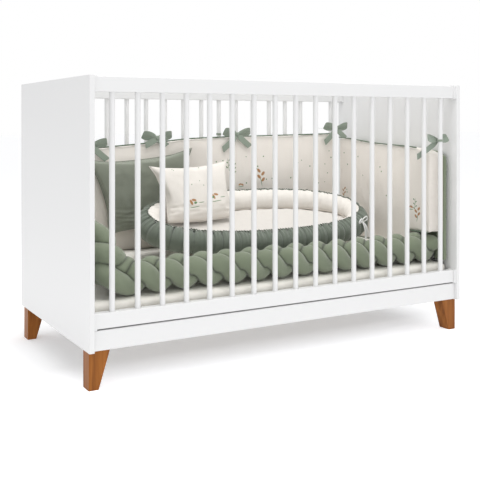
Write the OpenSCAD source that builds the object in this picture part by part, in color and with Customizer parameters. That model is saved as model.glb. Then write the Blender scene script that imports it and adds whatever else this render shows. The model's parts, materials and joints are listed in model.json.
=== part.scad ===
// Baby crib: solid end panels, two fixed grids of round slats, tapered feet,
// a height-adjustable slatted base and a padded bedding set.
// Millimetres. Origin at the middle of the footprint, on the floor. Front is -Y.

/* [Frame] */
// Outside length over the end panels
crib_len = 1340; // [1335:1:1360]
// Outside depth of the end panels
crib_dep = 680; // [678:1:700]
// Height from the floor to the top of the end panels
crib_h = 846; // [840:1:860]
// Thickness of an end panel
panel_t = 15; // [12:1:15]
// Height of the feet under the end panels
leg_h = 105; // [100:1:108]
// Rounding of the end panels' upright edges
panel_r = 2; // [1:0.5:4]

/* [Grids] */
// Number of slats in each grid
slat_count = 17; // [9:1:17]
// Diameter of a slat
slat_d = 16; // [12:0.5:18]
// Distance from one slat to the next
slat_pitch = 74.8; // [68:0.1:74.8]
// Thickness of the rails
rail_t = 24; // [22:1:24]
// Height of the rails
rail_h = 42; // [36:1:42]
// Set-back of the rails from the panels' edges
rail_inset = 10; // [9:1:11]
// Distance from the top of the panels down to the top rails
rail_drop = 2; // [2:0.5:6]
// Underside of the bottom rails above the floor
rail_low = 165; // [165:1:168]

/* [Apron and feet] */
// Height of the aprons under the bottom rails
apron_h = 54.5; // [40:0.5:54.5]
// Thickness of the aprons
apron_t = 15; // [12:1:15]
// Set-back of the aprons from the panels' edges
apron_inset = 12; // [10:1:12]
// Width of a foot at its top
leg_top = 60; // [54:1:64]
// Width of a foot on the floor
leg_foot = 28; // [24:1:36]
// Depth of a foot, front to back
leg_dep = 45; // [40:1:48]

/* [Base and mattress] */
// Mattress length
mat_len = 1296; // [1280:1:1300]
// Mattress depth
mat_dep = 600; // [590:1:600]
// Mattress thickness
mat_t = 99.7; // [90:0.1:99.7]
// Number of cross slats in the base
base_slat_n = 11; // [8:1:12]

/* [Bedding] */
// Diameter of the plaited bolster
braid_d = 100; // [90:1:100]
// Diameter of the nest's padded rim
nest_rim = 84; // [70:1:84]
// Forward slope of the nest, degrees
nest_tilt = 23; // [20:1:24]

/* [Hidden] */
slat_ids = [for (i = [1 : slat_count]) str(i < 10 ? "0" : "", i)];

white = [0.95, 0.95, 0.94];
cream = [0.92, 0.89, 0.84];
sage = [0.52, 0.60, 0.50];
dark_green = [0.33, 0.39, 0.35];
wood = [0.62, 0.36, 0.15];
black = [0.08, 0.08, 0.08];
steel = [0.70, 0.70, 0.72];

sides = [-1, 1];
half_len = crib_len / 2;
half_dep = crib_dep / 2;
inner_x = half_len - panel_t;
rail_y = half_dep - rail_inset - rail_t / 2;
top_rail_z = crib_h - rail_drop - rail_h / 2;
low_rail_z = rail_low + rail_h / 2;

// How far a rail runs past the socket's mouth
socket_w = 8;
socket_floor = 3;
socket_proud = 6;
socket_back = 2;
socket_lip = 2;
fit_gap = 0.2;
rail_half = inner_x - socket_floor;

// The slats are let into blind holes in both rails
slat_seat = 12;
hole_gap = 0.15;
slat_z0 = low_rail_z + rail_h / 2 - slat_seat;
slat_z1 = top_rail_z - rail_h / 2 + slat_seat;
slat_x0 = -slat_pitch * (slat_count - 1) / 2;

apron_z1 = 161;
leg_outset = 5;
leg_front = 20;
block_h = 25;
block_x = 596;
block_in = 262;
leg_bolt_x = 636;
leg_bolt_y = half_dep - leg_front - leg_dep / 2;
leg_bolt_d = 8;
washer_t = 1.5;

// Base: a bar frame under cross slats, on four angle brackets
bar_z0 = 146;
bar_h = 22;
bar_t = 20;
base_half_dep = 303;
end_bar_x0 = 620;
end_bar_t = 25;
base_slat_w = 70;
base_slat_t = 10;
base_slat_pitch = 112;
bracket_y = 225;
bracket_w = 50;
bracket_t = 2.5;
bracket_low = 116;
bracket_x0 = 600;
bracket_out = inner_x - 1;
base_screw_d = 6;
screw_z = 130;
height_step = 50;
height_count = 3;

mat_z0 = bar_z0 + bar_h + base_slat_t + 0.3;
mat_z1 = mat_z0 + mat_t;
mat_r = 18;
bed_z = mat_z1 + 1;

// Path of the plaited bolster: along the front, round the corner, along the left end, where it
// stands on edge; the fourth number is how much taller it is there
braid_r = braid_d / 2;
braid_gap = 0.7;
braid_front_z = 232 + braid_r;
braid_left_z = bed_z + 0.5 + braid_r;
braid_pts = [
    [574, -242, braid_front_z, 0],
    [-540, -242, braid_front_z, 0],
    [-580, -240, braid_front_z + 34, 0],
    [-598, -196, braid_left_z, 60],
    [-598, 160, braid_left_z, 60]
];

// Bumper cushions
bump_out = 648;
bump_rear_y0 = 225;
bump_rear_y1 = 300;
bump_right_x0 = 566;
bump_right_back = 625;
rear_top = [[565, 677], [360, 673], [50, 668], [-100, 663], [-230, 651], [-430, 636], [-648, 628]];
right_top = [[223, 662], [140, 657], [20, 645], [-80, 640], [-170, 637], [-230, 633], [-296, 625]];

// Nest: a four-arc oval rim round a pad
nest_a = 408;
nest_b = 140;
nest_end_r = 85;
nest_e = nest_a - nest_end_r;
nest_side_r = (pow(nest_e, 2) + pow(nest_b, 2) - pow(nest_end_r, 2)) / (2 * (nest_b - nest_end_r));
nest_d = nest_side_r - nest_b;
nest_ang = atan2(nest_d, nest_e);
nest_pad_t = 28;
corner_r = 7;
rim_r = nest_rim / 2;
nest_low = (nest_b + 0.5 * rim_r) * sin(nest_tilt) + rim_r * cos(nest_tilt);
nest_pos = [60, -3, bed_z + nest_low];

// Ribbon bows: [grid slat, side of the crib, height, how far the knot is to the right of the slat,
// how far it is towards the middle of the crib, size, tail length]
bows = [
    [3, 1, 641, -18, 97, 1, 1],
    [6, 1, 664, 0, 97, 1, 1],
    [10, 1, 674, 24, 97, 1, 1],
    [16, 1, 694, 29, 97, 1, 0.4],
    [17, -1, 661, 5, 13, 0.85, 0.7]
];
strap_w = 9;
knot_w = 14;
ribbon_ring = 9.4;
ribbon_t = 1.3;
bow_t = 7;

// Rectangle with rounded corners, centred
module round_rect(w, h, r) {
    square([w - 2 * r, h], center = true);
    square([w, h - 2 * r], center = true);
    for (x = sides)
        for (y = sides)
            translate([x * (w / 2 - r), y * (h / 2 - r)])
                circle(r, $fn = 32);
}

// Bar along X with a rounded section, centred on the origin
module bar_x(len, w, h, r) {
    rotate([90, 0, 90])
        linear_extrude(len, center = true)
            round_rect(w, h, r);
}

// One end panel with blind holes for the three base heights
module end_panel(side) {
    difference() {
        translate([side * (half_len - panel_t / 2), 0, leg_h])
            linear_extrude(crib_h - leg_h)
                round_rect(panel_t, crib_dep, panel_r);
        for (y = sides)
            for (k = [0 : height_count - 1])
                translate([side * (inner_x - 0.01), y * bracket_y, screw_z + k * height_step])
                    rotate([0, side * 90, 0])
                        cylinder(d = base_screw_d + 0.5, h = 10, $fn = 24);
    }
}

module slat(side, i) {
    translate([slat_x0 + (i - 1) * slat_pitch, side * rail_y, slat_z0])
        cylinder(d = slat_d, h = slat_z1 - slat_z0, $fn = 32);
}

module slat_holes(side, z0) {
    for (i = [1 : slat_count])
        translate([slat_x0 + (i - 1) * slat_pitch, side * rail_y, z0])
            cylinder(d = slat_d + 2 * hole_gap, h = slat_seat + 0.5 + 1, $fn = 32);
}

module top_rail(side) {
    difference() {
        translate([0, side * rail_y, top_rail_z])
            bar_x(2 * rail_half, rail_t, rail_h, 2);
        slat_holes(side, top_rail_z - rail_h / 2 - 1);
    }
}

module bottom_rail(side) {
    difference() {
        translate([0, side * rail_y, low_rail_z])
            bar_x(2 * rail_half, rail_t, rail_h, 2);
        slat_holes(side, low_rail_z + rail_h / 2 - slat_seat - 0.5);
    }
}

// Socket that carries one rail end, open towards the middle of the crib
module rail_socket(sx, sy, z) {
    out_w = rail_t + socket_proud + socket_back;
    difference() {
        translate([sx * (inner_x - socket_w / 2), sy * (rail_y + (socket_proud - socket_back) / 2), z])
            bar_x(socket_w, out_w, rail_h + 2 * socket_lip, 2);
        translate([sx * (inner_x - socket_w / 2 - socket_floor + fit_gap), sy * rail_y, z])
            bar_x(socket_w, rail_t + 2 * fit_gap, rail_h + 2 * fit_gap, 2);
    }
}

module apron(side) {
    translate([0, side * (half_dep - apron_inset - apron_t / 2), apron_z1 - apron_h / 2])
        bar_x(2 * (inner_x - fit_gap), apron_t, apron_h, 1.5);
}

// Tapered foot: upright outer side, slanted inner side
module leg(sx, sy) {
    out = half_len - leg_outset;
    difference() {
        translate([0, sy * (half_dep - leg_front - leg_dep / 2) + leg_dep / 2, 0])
            rotate([90, 0, 0])
                linear_extrude(leg_dep)
                    polygon([
                        [sx * (out - leg_foot), 0],
                        [sx * out, 0],
                        [sx * out, leg_h],
                        [sx * (out - leg_top), leg_h]
                    ]);
        translate([sx * leg_bolt_x, sy * leg_bolt_y, leg_h - 45])
            cylinder(d = leg_bolt_d + 2 * hole_gap, h = 50, $fn = 24);
    }
}

module corner_block(sx, sy) {
    y0 = block_in;
    y1 = half_dep - apron_inset - apron_t - 2 * fit_gap;
    x1 = inner_x - 2 * fit_gap;
    difference() {
        translate([sx * (block_x + x1) / 2, sy * (y0 + y1) / 2, leg_h + block_h / 2])
            cube([x1 - block_x, y1 - y0, block_h], center = true);
        translate([sx * leg_bolt_x, sy * leg_bolt_y, leg_h - 1])
            cylinder(d = leg_bolt_d + 2 * hole_gap, h = block_h + 2, $fn = 24);
    }
}

module leg_bolt(sx, sy) {
    z = leg_h + block_h;
    translate([sx * leg_bolt_x, sy * leg_bolt_y, 0]) {
        translate([0, 0, leg_h - 44])
            cylinder(d = leg_bolt_d, h = block_h + 45, $fn = 24);
        translate([0, 0, z])
            cylinder(d = 18, h = washer_t, $fn = 32);
        translate([0, 0, z + washer_t])
            cylinder(d = 14, h = 5.5, $fn = 6);
    }
}

module base_frame() {
    for (y = sides)
        translate([0, y * (base_half_dep - bar_t / 2), bar_z0 + bar_h / 2])
            cube([2 * end_bar_x0 - 1, bar_t, bar_h], center = true);
    for (x = sides)
        difference() {
            translate([x * (end_bar_x0 + end_bar_t / 2), 0, bar_z0 + bar_h / 2])
                cube([end_bar_t, 2 * base_half_dep, bar_h], center = true);
            for (y = sides)
                translate([x * (end_bar_x0 + end_bar_t / 2), y * bracket_y, bar_z0 - 1])
                    cylinder(d = 5.3, h = 16, $fn = 24);
        }
}

module cross_slats() {
    for (i = [0 : base_slat_n - 1])
        translate([(i - (base_slat_n - 1) / 2) * base_slat_pitch, 0, bar_z0 + bar_h])
            linear_extrude(base_slat_t)
                round_rect(base_slat_w, 2 * base_half_dep, 4);
}

// Angle bracket: one flange under the base, one down the end panel
module bracket(sx, sy) {
    mid_x = end_bar_x0 + end_bar_t / 2;
    difference() {
        translate([0, sy * bracket_y + bracket_w / 2, 0])
            rotate([90, 0, 0])
                linear_extrude(bracket_w)
                    polygon([
                        [sx * bracket_x0, bar_z0],
                        [sx * bracket_out, bar_z0],
                        [sx * bracket_out, bracket_low],
                        [sx * (bracket_out - bracket_t), bracket_low],
                        [sx * (bracket_out - bracket_t), bar_z0 - bracket_t],
                        [sx * bracket_x0, bar_z0 - bracket_t]
                    ]);
        translate([sx * mid_x, sy * bracket_y, bar_z0 - bracket_t - 1])
            cylinder(d = 5.4, h = bracket_t + 2, $fn = 24);
        translate([sx * (bracket_out - bracket_t - 1), sy * bracket_y, screw_z])
            rotate([0, sx * 90, 0])
                cylinder(d = base_screw_d + 0.4, h = bracket_t + 2, $fn = 24);
    }
}

// A screw up into the base and a screw towards the panel, at one bracket
module bracket_screws(sx, sy) {
    mid_x = end_bar_x0 + end_bar_t / 2;
    translate([sx * mid_x, sy * bracket_y, bar_z0 - bracket_t - 3.5]) {
        cylinder(d = 10, h = 3.5, $fn = 32);
        cylinder(d = 5, h = 18, $fn = 24);
    }
    translate([sx * (bracket_out - bracket_t - 5), sy * bracket_y, screw_z])
        rotate([0, sx * 90, 0]) {
            cylinder(d = 12, h = 5, $fn = 32);
            cylinder(d = base_screw_d, h = 5 + bracket_t + 0.8, $fn = 24);
        }
}

module bolster() {
    for (i = [0 : len(braid_pts) - 2])
        hull()
            for (p = [braid_pts[i], braid_pts[i + 1]])
                for (lift = [0, p[3]])
                    translate([p[0], p[1], p[2] + lift])
                        sphere(r = braid_r, $fn = 32);
}

// The nest's oval, drawn in from its centre line by an inset
module nest_outline(inset) {
    x_t = nest_e + (nest_end_r - inset) * cos(nest_ang);
    intersection() {
        translate([0, -nest_d])
            circle(nest_side_r - inset, $fn = 180);
        translate([0, nest_d])
            circle(nest_side_r - inset, $fn = 180);
        square([2 * x_t, 4 * nest_b], center = true);
    }
    for (x = sides)
        translate([x * nest_e, 0])
            circle(nest_end_r - inset, $fn = 64);
}

// One layer of the nest's rim, with the given half-width
module rim_layer(z0, z1, half_w) {
    translate([0, 0, z0])
        linear_extrude(z1 - z0)
            difference() {
                nest_outline(-half_w);
                nest_outline(half_w);
            }
}

// Cushion standing on edge: four pinched corners at [x, z] round a full middle
module pillow(corners, t) {
    mid = (corners[0] + corners[1] + corners[2] + corners[3]) / 4;
    full_w = (corners[1][0] - corners[0][0] + corners[2][0] - corners[3][0]) * 0.21;
    full_h = (corners[0][1] - corners[3][1] + corners[1][1] - corners[2][1]) * 0.21;
    hull() {
        for (c = corners)
            translate([c[0], 0, c[1]])
                sphere(corner_r, $fn = 16);
        translate([mid[0], 0, mid[1]])
            scale([full_w, t / 2, full_h])
                sphere(1, $fn = 32);
    }
}

// Flat bow: ring round the slat, band over the cushion, knot, two loops and two tails
module bow(i, sy, z, dx, reach, size, tail) {
    x = slat_x0 + (i - 1) * slat_pitch;
    translate([x, sy * rail_y, z]) {
        rotate_extrude($fn = 32)
            translate([ribbon_ring, 0])
                square([2 * ribbon_t, strap_w - 1], center = true);
        translate([0, 0, -ribbon_t / 2])
            linear_extrude(ribbon_t)
                polygon([
                    [-strap_w / 2, -sy * ribbon_ring],
                    [strap_w / 2, -sy * ribbon_ring],
                    [dx + strap_w / 2, -sy * reach],
                    [dx - strap_w / 2, -sy * reach]
                ]);
        translate([dx, -sy * reach, 0])
            cube([knot_w, bow_t + 1, knot_w], center = true);
        translate([dx, -sy * reach + bow_t / 2, 0])
            rotate([90, 0, 0])
                linear_extrude(bow_t)
                    for (m = sides) {
                        scale([size, size])
                            polygon([[0, -3], [m * 50, -12], [m * 55, 3], [m * 48, 20], [0, 3]]);
                        scale([size * tail, size * tail])
                            polygon([[0, 0], [m * 9, 0], [m * 58, -38], [m * 45, -50]]);
                    }
    }
}

module left_end_panel() {
    color(white) end_panel(-1);
}

module right_end_panel() {
    color(white) end_panel(1);
}

module front_top_rail() {
    color(white) top_rail(-1);
}

module front_bottom_rail() {
    color(white) bottom_rail(-1);
}

module rear_top_rail() {
    color(white) top_rail(1);
}

module rear_bottom_rail() {
    color(white) bottom_rail(1);
}

module rail_end_sockets() {
    color(white)
        for (x = sides)
            for (y = sides)
                for (z = [low_rail_z, top_rail_z])
                    rail_socket(x, y, z);
}

module front_slat(i) {
    color(white) slat(-1, i);
}

module rear_slat(i) {
    color(white) slat(1, i);
}

module front_apron() {
    color(white) apron(-1);
}

module rear_apron() {
    color(white) apron(1);
}

module legs() {
    color(wood)
        for (x = sides)
            for (y = sides)
                leg(x, y);
}

module corner_blocks() {
    color(white)
        for (x = sides)
            for (y = sides)
                corner_block(x, y);
}

module leg_bolts() {
    color(steel)
        for (x = sides)
            for (y = sides)
                leg_bolt(x, y);
}

module base_beams() {
    color(white) base_frame();
}

module base_slats() {
    color(white) cross_slats();
}

module base_brackets() {
    color(black)
        for (x = sides)
            for (y = sides)
                bracket(x, y);
}

module base_bolts() {
    color(steel)
        for (x = sides)
            for (y = sides)
                bracket_screws(x, y);
}

// The bolster presses the front edge and the left end of the mattress down
module mattress() {
    color(white)
        difference() {
            translate([0, 0, (mat_z0 + mat_z1) / 2])
                bar_x(mat_len, mat_dep, mat_t, mat_r);
            translate([-half_len, -242, braid_front_z])
                rotate([0, 90, 0])
                    cylinder(r = braid_r + braid_gap, h = crib_len, $fn = 64);
            translate([-half_len, -half_dep, braid_front_z - braid_r - braid_gap])
                cube([crib_len, half_dep - 242, crib_h]);
        }
}

module bumper_rear() {
    color(cream)
        translate([0, bump_rear_y1, 0])
            rotate([90, 0, 0])
                linear_extrude(bump_rear_y1 - bump_rear_y0)
                    polygon(concat([[-bump_out, bed_z], [565, bed_z]], rear_top));
}

// The front end stands over the bolster; the backing goes down to the mattress behind it
module bumper_right() {
    step_z = braid_front_z + braid_r + 2;
    low_z = braid_front_z - braid_r + 1;
    color(cream) {
        translate([bump_right_x0, 0, 0])
            rotate([90, 0, 90])
                linear_extrude(bump_right_back - bump_right_x0 + 1)
                    polygon(concat([[-296, step_z], [-190, step_z], [-190, bed_z], [223, bed_z]], right_top));
        translate([bump_right_back, 0, 0])
            rotate([90, 0, 90])
                linear_extrude(bump_out - bump_right_back)
                    polygon(concat([[-296, low_z], [-243, low_z], [-243, bed_z], [223, bed_z]], right_top));
    }
}

module bumper_bows() {
    color(sage)
        for (b = bows)
            bow(b[0], b[1], b[2], b[3], b[4], b[5], b[6]);
}

module braid() {
    color(sage) bolster();
}

module nest_roll() {
    color(dark_green)
        translate(nest_pos)
            rotate([nest_tilt, 0, 0]) {
                rim_layer(-rim_r, -rim_r * 0.8, rim_r * 0.5);
                rim_layer(-rim_r * 0.8, -rim_r * 0.4, rim_r * 0.85);
                rim_layer(-rim_r * 0.4, rim_r * 0.4, rim_r);
                rim_layer(rim_r * 0.4, rim_r * 0.8, rim_r * 0.85);
                rim_layer(rim_r * 0.8, rim_r, rim_r * 0.5);
            }
}

module nest_pad() {
    color(cream)
        translate(nest_pos)
            rotate([nest_tilt, 0, 0])
                translate([0, 0, 6 - rim_r])
                    linear_extrude(nest_pad_t)
                        nest_outline(rim_r + 1);
}

module green_pillow() {
    color(dark_green)
        translate([0, 198, 0])
            pillow([[-482, 592], [-112, 622], [-136, 366], [-400, 356]], 44);
}

module print_pillow() {
    color(cream)
        translate([-166, 40, 491])
            rotate([-20, 0, 0])
                pillow([[-131, 96], [131, 96], [122, -92], [-113, -92]], 58);
}

for (i = [1 : slat_count])
    front_slat(i);
for (i = [1 : slat_count])
    rear_slat(i);
left_end_panel();
right_end_panel();
front_top_rail();
front_bottom_rail();
rear_top_rail();
rear_bottom_rail();
rail_end_sockets();
front_apron();
rear_apron();
legs();
corner_blocks();
leg_bolts();
base_beams();
base_slats();
base_brackets();
base_bolts();
mattress();
bumper_rear();
bumper_right();
bumper_bows();
braid();
nest_roll();
nest_pad();
green_pillow();
print_pillow();
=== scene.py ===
import bpy
import json
import math
import numpy as np
from mathutils import Matrix, Vector, noise
from mathutils.bvhtree import BVHTree


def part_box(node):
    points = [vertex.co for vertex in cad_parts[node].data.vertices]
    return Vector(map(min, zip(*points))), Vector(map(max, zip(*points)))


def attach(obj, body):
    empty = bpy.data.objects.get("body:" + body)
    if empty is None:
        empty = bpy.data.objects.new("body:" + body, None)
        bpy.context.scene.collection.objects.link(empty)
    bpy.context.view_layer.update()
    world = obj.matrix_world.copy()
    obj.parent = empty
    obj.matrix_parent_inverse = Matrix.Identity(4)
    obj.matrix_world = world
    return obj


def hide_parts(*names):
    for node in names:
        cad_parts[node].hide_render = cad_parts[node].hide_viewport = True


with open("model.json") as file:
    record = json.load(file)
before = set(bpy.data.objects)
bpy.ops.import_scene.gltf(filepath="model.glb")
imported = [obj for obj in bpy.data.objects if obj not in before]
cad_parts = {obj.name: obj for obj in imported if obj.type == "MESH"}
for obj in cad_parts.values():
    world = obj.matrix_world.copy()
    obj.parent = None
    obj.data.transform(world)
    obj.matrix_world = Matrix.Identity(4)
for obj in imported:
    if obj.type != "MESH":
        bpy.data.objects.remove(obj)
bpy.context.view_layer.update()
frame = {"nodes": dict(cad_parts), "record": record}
nodes = frame["nodes"]
scene = bpy.context.scene
scene.view_settings.view_transform = "Standard"
BED = "bed_base"

# ---- camera and light
FOCAL_MM, SENSOR_MM = 61.0995, 36
VERTICAL_SHIFT = -0.246875  # a level camera, so that uprights stay parallel
CAMERA_AT = (-1.4002, -2.4077, 0.7216)
CAMERA_YAW = -29.917
SKY = 0.80  # how strongly the white studio lights the crib; the camera sees it at 1

cam_data = bpy.data.cameras.new("camera")
cam_data.lens = FOCAL_MM
cam_data.sensor_width = SENSOR_MM
cam_data.shift_y = VERTICAL_SHIFT
cam_data.clip_end = 200
cam = bpy.data.objects.new("camera", cam_data)
cam.location = CAMERA_AT
cam.rotation_euler = (math.radians(90), 0, math.radians(CAMERA_YAW))
scene.collection.objects.link(cam)
scene.camera = cam

world = bpy.data.worlds.new("studio")
world.use_nodes = True
world.node_tree.nodes["Background"].inputs["Color"].default_value = (1, 1, 1, 1)
wt = world.node_tree
ray = wt.nodes.new("ShaderNodeLightPath")
sky = wt.nodes.new("ShaderNodeMath")
sky.operation = "MULTIPLY_ADD"
sky.inputs[1].default_value = 1.0 - SKY
sky.inputs[2].default_value = SKY
wt.links.new(ray.outputs["Is Camera Ray"], sky.inputs[0])
wt.links.new(sky.outputs[0], wt.nodes["Background"].inputs["Strength"])
scene.world = world


def area_light(name, loc, target, size, power):
    d = bpy.data.lights.new(name, "AREA")
    d.size = size
    d.energy = power
    o = bpy.data.objects.new(name, d)
    o.location = loc
    o.rotation_euler = (Vector(target) - Vector(loc)).to_track_quat("-Z", "Y").to_euler()
    scene.collection.objects.link(o)


area_light("key", (-1.6, -3.4, 3.0), (0, 0, 0.4), 1.4, 11)
area_light("top", (-0.1, -0.5, 3.4), (0.1, 0.05, 0.3), 1.6, 62)


# ---- material helpers
class Nodes:
    """A node material being built, with short names for the nodes that are used often."""

    def __init__(self, name):
        self.m = bpy.data.materials.new(name)
        self.m.use_nodes = True
        self.t = self.m.node_tree
        self.bsdf = self.t.nodes["Principled BSDF"]
        self.coord = self.new("ShaderNodeTexCoord").outputs["Object"]

    def new(self, kind, **props):
        n = self.t.nodes.new(kind)
        for k, v in props.items():
            setattr(n, k, v)
        return n

    def link(self, a, b):
        self.t.links.new(a, b)

    def put(self, socket, value):
        if hasattr(value, "is_output"):
            self.link(value, socket)
        else:
            socket.default_value = value

    def math(self, op, a, b=0.0, c=None, clamp=False):
        n = self.new("ShaderNodeMath", operation=op, use_clamp=clamp)
        self.put(n.inputs[0], a)
        self.put(n.inputs[1], b)
        if c is not None:
            self.put(n.inputs[2], c)
        return n.outputs[0]

    def vmath(self, op, a, b=None):
        n = self.new("ShaderNodeVectorMath", operation=op)
        self.put(n.inputs[0], a)
        if b is not None:
            self.put(n.inputs[1], b)
        return n.outputs["Value"] if op in ("LENGTH", "DOT_PRODUCT") else n.outputs[0]

    def mapped(self, scale):
        n = self.new("ShaderNodeMapping")
        n.inputs["Scale"].default_value = scale
        self.link(self.coord, n.inputs["Vector"])
        return n.outputs[0]

    def noise(self, vec, scale, detail=2.0, rough=0.5):
        n = self.new("ShaderNodeTexNoise")
        n.inputs["Scale"].default_value = scale
        n.inputs["Detail"].default_value = detail
        n.inputs["Roughness"].default_value = rough
        self.link(vec, n.inputs["Vector"])
        return n.outputs["Fac"]

    def mix(self, fac, a, b):
        n = self.new("ShaderNodeMix", data_type="RGBA")
        self.put(n.inputs["Factor"], fac)
        self.put(n.inputs["A"], a)
        self.put(n.inputs["B"], b)
        return n.outputs["Result"]

    def ramp(self, fac, stops):
        n = self.new("ShaderNodeValToRGB")
        cr = n.color_ramp
        while len(cr.elements) < len(stops):
            cr.elements.new(0.5)
        for e, (p, c) in zip(cr.elements, stops):
            e.position = p
            e.color = (*c, 1)
        self.link(fac, n.inputs["Fac"])
        return n.outputs["Color"]

    def bump(self, height, distance, strength=1.0):
        n = self.new("ShaderNodeBump")
        n.inputs["Distance"].default_value = distance
        n.inputs["Strength"].default_value = strength
        self.link(height, n.inputs["Height"])
        self.link(n.outputs[0], self.bsdf.inputs["Normal"])

    def set(self, **kw):
        for k, v in kw.items():
            self.put(self.bsdf.inputs[k.replace("_", " ")], v)

    def base(self):
        """Whatever feeds the base colour so far."""
        return self.bsdf.inputs["Base Color"].links[0].from_socket


def rgb(c, k=1.0):
    return (c[0] * k, c[1] * k, c[2] * k, 1)


def lacquer(name, color, rough=0.38):
    n = Nodes(name)
    peel = n.noise(n.coord, 420, 2)
    cloud = n.noise(n.coord, 2.5, 3)
    n.set(Base_Color=n.mix(cloud, rgb(color, 0.985), rgb(color)))
    n.set(Roughness=n.math("MULTIPLY_ADD", cloud, 0.08, rough - 0.04))
    n.bsdf.inputs["Coat Weight"].default_value = 0.15
    n.bsdf.inputs["Coat Roughness"].default_value = 0.25
    n.bump(peel, 0.0002, 0.25)
    return n.m


def varnished_wood(name, dark, mid, light):
    n = Nodes(name)
    warp = n.noise(n.mapped((6, 6, 1.2)), 3.0, 3)
    off = n.new("ShaderNodeCombineXYZ")
    n.link(n.math("MULTIPLY", warp, 0.035), off.inputs[0])
    n.link(n.math("MULTIPLY", warp, 0.02), off.inputs[1])
    n.coord = n.vmath("ADD", n.coord, off.outputs[0])
    grain = n.noise(n.mapped((150, 150, 5)), 1.0, 4, 0.6)
    rings = n.noise(n.mapped((38, 38, 2.2)), 1.0, 2)
    both = n.math("ADD", n.math("MULTIPLY", grain, 0.5), n.math("MULTIPLY", rings, 0.5))
    n.set(Base_Color=n.ramp(both, [(0.36, dark), (0.50, mid), (0.64, light)]))
    n.set(Roughness=n.math("MULTIPLY_ADD", grain, 0.15, 0.34))
    n.bsdf.inputs["Specular IOR Level"].default_value = 0.22
    n.bump(grain, 0.0004, 0.4)
    return n.m


def weave_height(n, pitch):
    """Threads crossing at the given pitch, with slubs along both."""
    k = 2 * math.pi / pitch
    sep = n.new("ShaderNodeSeparateXYZ")
    n.link(n.coord, sep.inputs[0])
    x, y, z = sep.outputs
    a = n.math("SINE", n.math("MULTIPLY", n.math("ADD", x, y), k))
    b = n.math("SINE", n.math("MULTIPLY", n.math("ADD", z, n.math("MULTIPLY", y, 0.6)), k))
    slub = n.noise(n.mapped((260, 260, 900)), 1.0, 2)
    slub2 = n.noise(n.mapped((900, 260, 260)), 1.0, 2)
    return n.math("ADD", n.math("MULTIPLY", n.math("MULTIPLY", a, b), 0.35), n.math("ADD", slub, slub2))


def cloth_nodes(name, color, dark=0.96, sheen=0.2, rough=0.88, crease=0.0, pitch=0.0011):
    """Woven cloth: dark is how much darker its darkest patches are, crease how strongly it is rumpled."""
    n = Nodes(name)
    h = weave_height(n, pitch)
    cloud = n.noise(n.coord, 9, 3)
    fine = n.noise(n.mapped((240, 240, 700)), 1.0, 2)
    fac = n.math("ADD", n.math("MULTIPLY", cloud, 0.5), n.math("MULTIPLY", fine, 0.5), clamp=True)
    n.set(Base_Color=n.mix(fac, rgb(color, dark), rgb(color, 2 - dark)))
    n.bsdf.inputs["Roughness"].default_value = rough
    n.bsdf.inputs["Sheen Weight"].default_value = sheen
    n.bsdf.inputs["Sheen Roughness"].default_value = 0.5
    if crease:
        h = n.math("ADD", h, n.math("MULTIPLY", n.noise(n.coord, 55, 3), crease))
    n.bump(h, 0.0009, 0.35)
    return n


def cloth(name, color, **look):
    return cloth_nodes(name, color, **look).m


def fold_shaded_cloth(name, color, amount, deep, **look):
    """Cloth with painted shade: it darkens towards the colour deep where the mesh's own crease value is high."""
    n = cloth_nodes(name, color, **look)
    base = n.base()
    fold = n.new("ShaderNodeAttribute")
    fold.attribute_name = "crease"
    n.set(Base_Color=n.mix(n.math("MULTIPLY", fold.outputs["Fac"], amount), base, rgb(deep)))
    return n.m


def stamps(n, base, items):
    """Prints soft-edged ellipses: each is (x, y, z, half width, half height, turn, colour)."""
    reach = 0.05  # how far in front of or behind a mark's own place its print still shows
    color = base
    for (x, y, z, rx, rz, turn, col) in items:
        d = n.vmath("SUBTRACT", n.coord, (x, y, z))
        c, s = math.cos(turn), math.sin(turn)
        u = n.vmath("DOT_PRODUCT", d, (c / rx, 0, s / rx))
        v = n.vmath("DOT_PRODUCT", d, (-s / rz, 0, c / rz))
        r2 = n.math("ADD", n.math("MULTIPLY", u, u), n.math("MULTIPLY", v, v))
        mask = n.math("MULTIPLY_ADD", r2, -2.5, 3.0, clamp=True)
        depth = n.vmath("DOT_PRODUCT", d, (0, 1, 0))
        near = n.math("LESS_THAN", n.math("ABSOLUTE", depth), reach)
        color = n.mix(n.math("MULTIPLY", mask, near), color, rgb(col))
    return color


WHITE = (0.755, 0.755, 0.755)
CREAM = (0.80, 0.755, 0.70)
SAGE = (0.198, 0.234, 0.156)
DARK = (0.135, 0.158, 0.125)
PILLOW_GREEN = (0.225, 0.245, 0.195)
RIBBON = (0.255, 0.305, 0.245)
LEAF = (0.13, 0.24, 0.11)
BROWN = (0.42, 0.22, 0.10)

m_white = lacquer("white_lacquer", WHITE)
m_socket = lacquer("socket_plastic", (0.74, 0.74, 0.74), 0.5)
m_foot = varnished_wood("foot_wood", (0.190, 0.057, 0.007), (0.275, 0.090, 0.012), (0.37, 0.130, 0.022))
m_base = varnished_wood("base_wood", (0.52, 0.48, 0.43), (0.60, 0.56, 0.51), (0.68, 0.64, 0.59))
# painted shade: the base beams, seen only through the narrow gap below the bottom rails, are coloured near black
# for the shade there; the grain is their own
m_base_painted_shade = varnished_wood("base_beams_painted_shade",
                             (0.018, 0.015, 0.013), (0.030, 0.026, 0.023), (0.045, 0.040, 0.036))
m_mattress = cloth("mattress_cover", (0.86, 0.835, 0.775), sheen=0.15)
m_sage = cloth("sage_cloth", SAGE, dark=0.93, sheen=0.35, rough=0.8, crease=0.5)
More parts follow.
